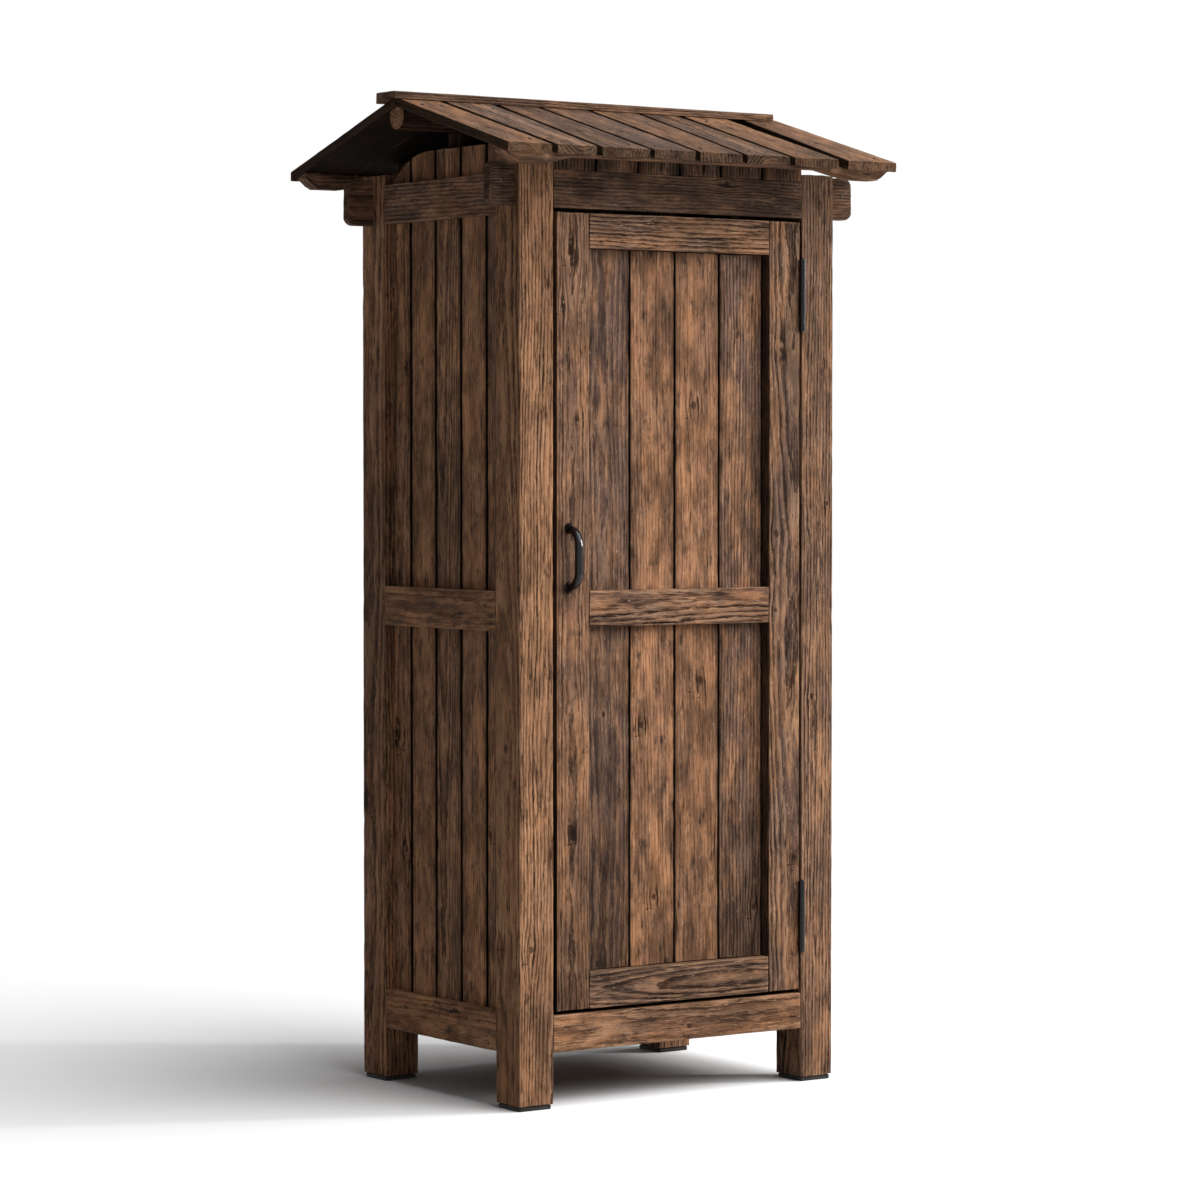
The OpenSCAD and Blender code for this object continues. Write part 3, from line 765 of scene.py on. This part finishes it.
class SHED_OT_walls(bpy.types.Operator):
    """Upright boards of both sides, the back and the strips under the eaves"""
    bl_idname = "shed.walls"
    bl_label = "Wall boards"

    def execute(self, context):
        gap = context.scene.shed_timber.gap
        for seed, (node, tints) in enumerate((
                ("left_wall", (0.5, 0.85, 0.6, 0.95, 0.7)), ("right_wall", (0.5, 0.7, 0.3, 0.6, 0.45)))):
            low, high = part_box(node)

            def curved_top(co, low=low, high=high, fall=gable_fall(node)):
                start, drop, radius = fall
                into = np.clip(co[:, Y] - start, 0, None)
                down = radius - np.sqrt(np.clip(radius ** 2 - into ** 2, 0, None))
                near_top = np.clip(1 - (high[Z] - co[:, Z]) / (2.4 * drop), 0, 1)
                co[:, Z] -= np.minimum(down, drop) * near_top
                return co
            pitch = 83.5 * MM
            edges = [low[Y], *(middle_of(node, Y) + pitch * k for k in (-1.5, -0.5, 0.5, 1.5)), high[Y]]
            build_timber(node + "_boards", [node], row_of(low, high, Y, edges, 2.3 * gap, tint=tints),
                         "plank_timber", (Y, X, Z), 51 + seed, inner=1 if seed == 0 else -1, fit=curved_top)
        low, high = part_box("rear_wall")
        edges = np.linspace(low[X], high[X], 7)
        build_timber("rear_wall_boards", ["rear_wall"],
                     row_of(low, high, X, edges, gap, tint=(0.5, 0.3, 0.65, 0.45, 0.7, 0.35)),
                     "plank_timber", (X, Y, Z), 53, coarse=1.15, inner=-1)
        for seed, node in enumerate(("front_frieze", "rear_frieze")):
            low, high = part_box(node)

            def under_the_roof(co, low=low, high=high):
                return between(co, low, high, low[Z], roof_underside(co[:, Y]) - ROOF_CLEARANCE)
            edges = np.linspace(low[X], high[X], 7)
            # the strips under the eaves lie in shadow and are painted darker as shade
            build_timber(node + "_boards", [node],
                         row_of(low, high, X, edges, gap, tint=(0.2, 0.5, 0.3, 0.1, 0.4, 0.25),
                                grime=(0.45,) * 6),
                         "plank_timber", (X, Y, Z), 55 + seed, fit=under_the_roof, end_wear=0.1)
        return {"FINISHED"}


class SHED_OT_floor(bpy.types.Operator):
    """Floor boards and the two joists under them"""
    bl_idname = "shed.floor"
    bl_label = "Floor"

    def execute(self, context):
        gap = 2.2 * MM
        low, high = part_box("floor")
        left_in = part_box("post_front_left")[1][X]
        right_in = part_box("post_front_right")[0][X]
        front_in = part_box("post_front_left")[1][Y]
        rear_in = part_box("post_rear_left")[0][Y]
        edges = [low[Y], *np.linspace(front_in, rear_in, 6), high[Y]]
        boards = row_of(low, high, Y, edges, gap, tint=(0.4, 0.6, 0.3, 0.7, 0.5, 0.45, 0.6))
        for board in (boards[0], boards[-1]):
            board.low[X], board.high[X] = left_in, right_in
        build_timber("floor_boards", ["floor"], boards, "plank_timber", (Y, Z, X), 61, coarse=1.3)
        low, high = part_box("floor_joists")
        thick = 30 * MM
        boards = [Board((low[X], y, low[Z]), (high[X], y + thick, high[Z]), tint=0.5)
                  for y in (low[Y], high[Y] - thick)]
        build_timber("floor_joist_wood", ["floor_joists"], boards, "plank_timber", (Z, Y, X), 62, coarse=1.6)
        return {"FINISHED"}


# the boards of each roof slope, which the nails are driven through
ROOF_BOARDS = {}


class SHED_OT_roof(bpy.types.Operator):
    """Roof boards with uneven joints, ridge cap, ridge pole, king posts and eaves battens"""
    bl_idname = "shed.roof"
    bl_label = "Roof"

    def execute(self, context):
        thick = roof_thickness()
        # each joint: distance along the eave, its width there, and how far its left and right edges
        # have moved by the ridge, all in mm
        joints = {
            "front_roof_slope": ((98, 13, -10, -8), (192, 10, 12, 14), (305, 10, -6, -4), (405, 9, 5, 7),
                                 (508, 9, 14, 16), (614, 11, 2, 5), (730, 20, 2, 26)),
            "rear_roof_slope": ((112, 2, 1, 1), (221, 6, -6, -5), (322, 9, 3, 6), (428, 6, -4, -3),
                                (537, 7, 6, 6), (640, 6, 0, 3), (748, 14, -4, 2)),
        }
        tints = {"front_roof_slope": (1.0, 0.15, 0.35, 0.0, 0.6, 0.4, 1.0, 0.9),
                 "rear_roof_slope": (0.5, 0.8, 0.3, 0.6, 0.9, 0.4, 0.7, 0.55)}

        def slope(co):
            co[:, Z] += roof_underside(co[:, Y])
            return co
        for seed, (node, cuts) in enumerate(joints.items()):
            low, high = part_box(node)
            near, far = low.copy(), high.copy()
            near[Z], far[Z] = 0.0, thick
            edges = [low[X], *(low[X] + c[0] * MM for c in cuts), high[X]]
            boards = row_of(near, far, X, edges, 0.0, tongue=False, tint=tints[node])
            for i, (_, width, left, right) in enumerate(cuts):
                boards[i].high[X] -= width / 2 * MM
                boards[i + 1].low[X] += width / 2 * MM
                boards[i].lean = (boards[i].lean[0], left * MM)
                boards[i + 1].lean = (right * MM, 0.0)
            rng = np.random.default_rng(70 + seed)
            for board in boards:
                trim = rng.uniform(0, 4.5) * MM
                if seed == 0:
                    board.low[Y] += trim
                else:
                    board.high[Y] -= trim
            ROOF_BOARDS[node] = boards
            # painted shade in the joints between the roof boards and near black on their undersides; the eave
            # ends are painted darker
            build_timber(node + "_boards", [node], boards, "roof_timber", (X, Z, Y), 71 + seed, fit=slope,
                         end_wear=1.6, knot_rate=3.0, inner=-1, side_grime=0.8, end_grime=0.45)

        low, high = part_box("ridge_cap")

        def over_the_ridge(co):
            return between(co, low, high, roof_underside(co[:, Y]) + thick + 0.2 * MM, high[Z])
        single("ridge_cap", "roof_timber", (Y, Z, X), 73, 0.5, fit=over_the_ridge, end_wear=1.5, knots=4)

        low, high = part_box("ridge_pole")
        middle = middle_of("ridge_pole", Y)
        radius = (high[Y] - low[Y]) / 2
        axis = low[Z] + radius

        def turned(co):
            y, z = co[:, Y] - middle, (co[:, Z] - low[Z]) / (high[Z] - low[Z]) * 2 * radius - radius
            block = np.maximum(np.abs(y), np.abs(z))
            reach = np.maximum(np.hypot(y, z), 1e-9)
            co[:, Y] = middle + y * block / reach
            co[:, Z] = np.minimum(axis + z * block / reach, roof_underside(co[:, Y]) - ROOF_CLEARANCE)
            return co
        # the ridge pole hangs in shadow under the ridge: painted shade on its sides and underside
        single("ridge_pole", "frame_timber", (Y, Z, X), 74, 0.85, fit=turned, square=True, knots=2,
               side_grime=0.85, under_grime=0.85)

        for seed, node in enumerate(("left_king_post", "right_king_post")):
            # the king posts stand in the gables' shadow and are painted dark as shade
            single(node, "plank_timber", (Y, X, Z), 75 + seed, 0.0, coarse=1.2, grime=0.8)

        for seed, node in enumerate(("front_eaves_batten", "rear_eaves_batten")):
            low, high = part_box(node)

            def hung(co, low=low, high=high):
                # the foot is cut up at the very end, hangs lowest behind it, and rises to the middle
                into = np.minimum(co[:, X] - low[X], high[X] - co[:, X])
                foot = np.interp(into, np.array([0, 24, 84, 154, 5000]) * MM,
                                 np.array([20, 0, 0, 15, 15]) * MM) + low[Z]
                return between(co, low, high, foot, roof_underside(co[:, Y]) - ROOF_CLEARANCE)
            single(node, "plank_timber", (Y, Z, X), 77 + seed, 0.35, fit=hung)
        return {"FINISHED"}


class SHED_OT_door(bpy.types.Operator):
    """Framed door: two stiles, three rails and four upright boards, with the stop it closes on"""
    bl_idname = "shed.door"
    bl_label = "Door"

    def execute(self, context):
        # painted shade on the stiles' long sides, which lie in shadow beside the boards, and on the rails' edges
        # in the creases
        single("door_latch_stile", "door_timber", (X, Y, Z), 81, 0.6, body="door", knots=4, side_grime=0.7,
               figure=0.8, splash=0.30)
        single("door_hinge_stile", "door_timber", (X, Y, Z), 82, 0.3, body="door", knots=4, quarter=False,
               side_grime=0.7, figure=0.9)
        for seed, (node, tint) in enumerate((("door_top_rail", 0.35), ("door_mid_rail", 0.5),
                                             ("door_bottom_rail", 0.3))):
            single(node, "door_timber", (Z, Y, X), 83 + seed, tint, body="door", quarter=seed == 0, figure=1.0,
                   side_grime=0.25)
        low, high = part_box("door_panel")
        pitch = 99.25 * MM
        edges = [low[X], *(low[X] + 100.25 * MM + pitch * k for k in range(3)), high[X] - 5 * MM]
        boards = row_of(low, high, X, edges, 3.8 * MM, tint=(0.0, 0.85, 0.85, 0.22), knots=(1, 2, 2, 1),
                        quarter=(False, True, True, True), figure=(0.6, 0.4, 0.4, 0.6),
                        grime=(0.07, 0.02, 0.03, 0.02))
        build_timber("door_boards", ["door_panel"], boards, "door_timber", (X, Y, Z), 86, body="door",
                     splash=0.20)
        single("door_stop", "plank_timber", (X, Y, Z), 87, 0.3, coarse=1.6)
        return {"FINISHED"}


class SHED_OT_ironwork(bpy.types.Operator):
    """Forged pull, with the paint of the two butt hinges"""
    bl_idname = "shed.ironwork"
    bl_label = "Pull and hinges"

    def execute(self, context):
        iron = iron_material("black_painted_forged_iron", context.scene.shed_colours.iron, 0.10, 0.10)
        low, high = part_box("door_handle")
        x, centre = middle_of("door_handle", X), middle_of("door_handle", Z)
        wide = context.scene.shed_iron.grip_width
        # the pull's path out of the door, round the grip and back, as (out, up) from its middle
        out = high[Y] - low[Y]
        bar = 6.4 * MM
        reach, bend, half = out - bar, 30 * MM, (high[Z] - low[Z]) / 2 - 10 * MM
        path = [(0.0, -half)]
        path += [(reach - bend + bend * math.sin(a), -half + bend * (1 - math.cos(a)))
                 for a in np.linspace(0, math.pi / 2, 12)]
        path += [(reach, z) for z in np.linspace(-half + bend, half - bend, 16)[1:-1]]
        path += [(reach - bend + bend * math.cos(a), half - bend + bend * math.sin(a))
                 for a in np.linspace(0, math.pi / 2, 12)]
        path += [(0.0, half)]
        points = np.array(path)
        run = np.concatenate([[0], np.cumsum(np.linalg.norm(np.diff(points, axis=0), axis=1))])
        even = np.linspace(0, run[-1], 84)
        points = np.stack([np.interp(even, run, points[:, k]) for k in range(2)], axis=1)
        ways = np.gradient(points, axis=0)
        ways /= np.linalg.norm(ways, axis=1)[:, None]
        share = np.abs(even / run[-1] * 2 - 1)
        # half the bar's width and thickness: its grip, its neck and its flared ends
        reaches = (0, 0.5, 0.9, 1.0)
        half_wide = np.interp(share, reaches, (wide / 2, wide / 2, 6.4 * MM, 8.4 * MM))
        half_thick = np.interp(share, reaches, (bar, bar, 6.2 * MM, 8.4 * MM))
        # the bar is a rounded square, its flat face turned a little to one side
        sides, squareness, tilt = 32, 3.4, math.radians(14)
        foot_base, foot_top, foot_thick = 9.9 * MM, 8.2 * MM, 3.4 * MM
        work = bmesh.new()
        loops = []
        for (o, up), (do, du), a, b in zip(points, ways, half_wide, half_thick):
            loop = []
            for k in range(sides):
                turn = 2 * math.pi * k / sides
                c, s = math.cos(turn), math.sin(turn)
                shape = (abs(c) ** squareness + abs(s) ** squareness) ** (-1 / squareness)
                flat_x, flat_y = a * c * shape, b * s * shape
                across = flat_x * math.cos(tilt) + flat_y * math.sin(tilt)
                lift = flat_y * math.cos(tilt) - flat_x * math.sin(tilt)
                loop.append(work.verts.new((x + across, high[Y] - (o + du * lift), centre + up - do * lift)))
            loops.append(loop)
        for first, second in zip(loops, loops[1:]):
            for k in range(sides):
                j = (k + 1) % sides
                work.faces.new((first[k], first[j], second[j], second[k]))
        work.faces.new(loops[0][::-1])
        work.faces.new(loops[-1])
        for sign in (-1, 1):
            foot = bmesh.ops.create_cone(work, cap_ends=True, segments=32, radius1=foot_base,
                                         radius2=foot_top, depth=foot_thick)["verts"]
            turn = Matrix.Translation((x, high[Y] - foot_thick / 2, centre + sign * half)) @ Matrix.Rotation(
                math.pi / 2, 4, "X")
            bmesh.ops.transform(work, matrix=turn, verts=foot)
        bmesh.ops.recalc_face_normals(work, faces=work.faces)
        mesh = bpy.data.meshes.new("forged_pull")
        work.to_mesh(mesh)
        work.free()
        co = points_of(mesh)
        hammer = waves(np.random.default_rng(91), 8, (200, 700), (200, 700), (200, 700))
        dent = 0.18 * MM * (0.5 + 0.5 * wobble(hammer, co[:, 0], co[:, 1], co[:, 2]))
        co[:, 0] -= np.sign(co[:, 0] - x) * dent * (np.abs(co[:, 0] - x) > 3 * MM)
        mesh.vertices.foreach_set("co", co.ravel())
        mesh.shade_smooth()
        mesh.set_sharp_from_angle(angle=math.radians(50))
        mesh.materials.append(iron)
        piece("forged_pull", mesh, "door", "black_iron", "door_handle")
        for node in ("hinge_frame_leaves", "hinge_door_leaves"):
            frame["nodes"][node].data.materials.clear()
            frame["nodes"][node].data.materials.append(iron)
        return {"FINISHED"}


class SHED_OT_fixings(bpy.types.Operator):
    """Nail heads along the roof and in the plates, and the hinge screws"""
    bl_idname = "shed.fixings"
    bl_label = "Nails and screws"

    def execute(self, context):
        sizes = context.scene.shed_iron
        # how far the nails stand from the ridge and from a plate's end, and the screws from each other
        from_ridge, from_end, screw_pitch = 62 * MM, 24 * MM, 44 * MM
        nail = iron_material("weathered_steel_nails", context.scene.shed_colours.nail, 0.5, 0.6)
        iron = bpy.data.materials["black_painted_forged_iron"]
        thick = roof_thickness()
        rng = np.random.default_rng(95)
        seats = []
        for node, side in (("front_roof_slope", -1), ("rear_roof_slope", 1)):
            co = points_of(bpy.data.objects[node + "_boards"].data)
            tops = co[:, Z] - roof_underside(co[:, Y]) > thick * 0.8
            under = roof_underside(np.array([0.1, 0.2]) * side)
            rise = side * (under[1] - under[0]) / 0.1
            lines = (middle_of(node.split("_")[0] + "_eaves_batten", Y), side * from_ridge)
            for board in ROOF_BOARDS[node]:
                for line in lines:
                    up = (line - board.low[Y]) / (board.high[Y] - board.low[Y])
                    low, high = board.low[X] + board.lean[0] * up, board.high[X] + board.lean[1] * up
                    for share in (0.24, 0.76):
                        x = low + (high - low) * share + rng.uniform(-4, 4) * MM
                        y = line + rng.uniform(-3, 3) * MM
                        near = np.argmin((co[:, X] - x) ** 2 + (co[:, Y] - y) ** 2 + 1e3 * ~tops)
                        seats.append(((x, y, co[near, Z]), (0, -rise, 1)))
        for node, side in (("front_plate", -1), ("rear_plate", 1)):
            low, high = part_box(node)
            for end, way in ((low[X], -1), (high[X], 1)):
                y = low[Y] if side < 0 else high[Y]
                seats.append(((end - way * from_end, y - side * 0.2 * MM, middle_of(node, Z) + 4 * MM),
                              (0, side, 0)))
        heads("nail_heads", seats, "cabinet", nail, sizes.nail_head, 1.3 * MM, 5)
        for node, body, way in (("hinge_frame_leaves", "cabinet", -1), ("hinge_door_leaves", "door", 1)):
            low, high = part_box(node)
            x = low[X] if way < 0 else high[X]
            seats = [((x, middle_of(node, Y) + 5 * MM, z + up * screw_pitch), (way, 0, 0))
                     for z in hinge_levels(node) for up in (-1, 0, 1)]
            heads(node.replace("leaves", "screws"), seats, body, iron, sizes.screw_head, 0.35 * MM, 6)
        return {"FINISHED"}


def hinge_levels(node):
    """Heights of the middles of the two hinges, read off the CAD leaves."""
    levels = np.sort([v.co[Z] for v in frame["nodes"][node].data.vertices])
    gap = np.argmax(np.diff(levels))
    return (levels[0] + levels[gap]) / 2, (levels[gap + 1] + levels[-1]) / 2


def heads(name, seats, body, material, size, rise, seed):
    """One piece with a head at every seat, each a place and the way it faces."""
    mesh = bpy.data.meshes.new(name + "_seats")
    mesh.from_pydata([s[0] for s in seats], [], [])
    layer = mesh.attributes.new("facing", "FLOAT_VECTOR", "POINT")
    layer.data.foreach_set("vector", np.array([s[1] for s in seats], np.float32).ravel())
    holder = link(name + "_seats", mesh)
    made = grown(heads_tree(), name, {"Seats": holder, "Head": size, "Rise": rise, "Seed": seed,
                                      "Iron": material})
    bpy.data.objects.remove(holder)
    made.shade_smooth()
    return piece(name, made, body, "black_iron")


class SHED_OT_pads(bpy.types.Operator):
    """Moulded rubber pads under the posts"""
    bl_idname = "shed.pads"
    bl_label = "Foot pads"

    def execute(self, context):
        work = bmesh.new()
        pads_low, pads_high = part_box("foot_pads")
        for post in ("front_left", "front_right", "rear_left", "rear_right"):
            low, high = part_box("post_" + post)
            inset = 3 * MM
            a = Vector((low[X] + inset, low[Y] + inset, pads_low[Z]))
            b = Vector((high[X] - inset, high[Y] - inset, pads_high[Z]))
            size, centre = b - a, (a + b) / 2
            made = bmesh.ops.create_cube(work, size=1.0, matrix=Matrix.Translation(centre) @ Matrix.Diagonal(
                (*size, 1.0)))["verts"]
            edges = list({e for v in made for e in v.link_edges})
            bmesh.ops.bevel(work, geom=edges, offset=2.2 * MM, segments=4, profile=0.5, affect="EDGES")
        bmesh.ops.recalc_face_normals(work, faces=work.faces)
        mesh = bpy.data.meshes.new("rubber_foot_pads")
        work.to_mesh(mesh)
        work.free()
        mesh.shade_smooth()
        mesh.set_sharp_from_angle(angle=math.radians(35))
        mesh.materials.append(rubber_material())
        piece("rubber_foot_pads", mesh, "cabinet", "black_pad", "foot_pads")
        return {"FINISHED"}


def seen_directly(tree):
    """1 where the camera or a mirror looks straight at the floor or sky, and 0 for their light."""
    rays = add(tree, "ShaderNodeLightPath").node.outputs
    return add(tree, MOST, rays["Is Camera Ray"], rays["Is Glossy Ray"])


def aimed(name, data, place, way, forward="Z"):
    """A lamp or camera at a place, with its forward axis along a direction."""
    made = link(name, data)
    made.location = place
    made.rotation_mode = "QUATERNION"
    made.rotation_quaternion = Vector(way).to_track_quat(forward, "Y")
    return made


class SHED_OT_stage(bpy.types.Operator):
    """Pale floor, one large soft lamp, a narrow edge lamp, an even sky and the camera"""
    bl_idname = "shed.stage"
    bl_label = "Stage"

    def execute(self, context):
        scene, stage = context.scene, context.scene.shed_stage
        half = 14.0
        mesh = bpy.data.meshes.new("floor_sheet")
        mesh.from_pydata([(-half, -half, 0), (half, -half, 0), (half, half, 0), (-half, half, 0)], [],
                         [(0, 1, 2, 3)])
        link("floor_sheet", mesh)
        mat, t = new_material("pale_studio_floor")
        matt = add(t, "ShaderNodeBsdfDiffuse", Color=add(t, RANGE, seen_directly(t), To_Min=0.38, To_Max=0.97))
        add(t, "ShaderNodeOutputMaterial", matt)
        mesh.materials.append(mat)

        scene.world = bpy.data.worlds.new("even_sky")
        scene.world.use_nodes = True
        t = scene.world.node_tree
        t.nodes.clear()
        power = add(t, RANGE, seen_directly(t), To_Min=stage.sky, To_Max=1.0)
        glow = add(t, "ShaderNodeBackground", Color=(1, 1, 1, 1), Strength=power)
        add(t, "ShaderNodeOutputWorld", glow)

        lamp = bpy.data.lights.new("soft_key", "SUN")
        lamp.energy, lamp.angle = stage.key, math.radians(stage.softness)
        way = Vector((0.50, -0.60, 0.95)).normalized()
        aimed("soft_key", lamp, way * 6, way)

        strip = bpy.data.lights.new("edge_strip", "AREA")
        strip.shape, strip.size, strip.size_y, strip.energy = "RECTANGLE", 0.24, 1.3, stage.edge
        way = Vector((0.88, -0.44, 0.20)).normalized()
        aimed("edge_strip", strip, Vector((0.0, -0.26, 1.0)) + way * 3.6, way)

        camera = bpy.data.cameras.new("camera")
        camera.lens, camera.sensor_width = stage.lens, 36.0
        camera.clip_start, camera.clip_end = 0.1, 100.0
        scene.camera = aimed("camera", camera, (-4.2485, -6.100, 1.131), (0.5737, 0.8184, -0.0328), "-Z")
        scene.view_settings.view_transform = "Standard"
        return {"FINISHED"}


class SHED_PT_panel(bpy.types.Panel):
    """Lists the shed's sizes, colours and build steps"""
    bl_idname = "SHED_PT_panel"
    bl_label = "Tool Shed"
    bl_space_type = "VIEW_3D"
    bl_region_type = "UI"
    bl_category = "Tool Shed"

    def draw(self, context):
        for group in ("shed_timber", "shed_colours", "shed_iron", "shed_stage"):
            settings = getattr(context.scene, group)
            box = self.layout.box()
            for key in settings.__annotations__:
                box.prop(settings, key)
        for step in STEPS:
            self.layout.operator(step.bl_idname)


STEPS = (SHED_OT_posts, SHED_OT_rails, SHED_OT_walls, SHED_OT_floor, SHED_OT_roof, SHED_OT_door,
         SHED_OT_ironwork, SHED_OT_fixings, SHED_OT_pads, SHED_OT_stage)
GROUPS = {"shed_timber": ShedTimber, "shed_colours": ShedColours, "shed_iron": ShedIron,
          "shed_stage": ShedStage}


def register():
    for kind in (*GROUPS.values(), *STEPS, SHED_PT_panel):
        bpy.utils.register_class(kind)
    for name, kind in GROUPS.items():
        setattr(bpy.types.Scene, name, bpy.props.PointerProperty(type=kind))


def unregister():
    for name in GROUPS:
        delattr(bpy.types.Scene, name)
    for kind in reversed((*GROUPS.values(), *STEPS, SHED_PT_panel)):
        bpy.utils.unregister_class(kind)


def main():
    register()
    for step in STEPS:
        area, call = step.bl_idname.split(".")
        getattr(getattr(bpy.ops, area), call)()
    for node in list(frame["nodes"].values()):
        if not node.data.materials:
            raise RuntimeError(f"{node.name} has no finish")


if __name__ == "__main__":
    main()
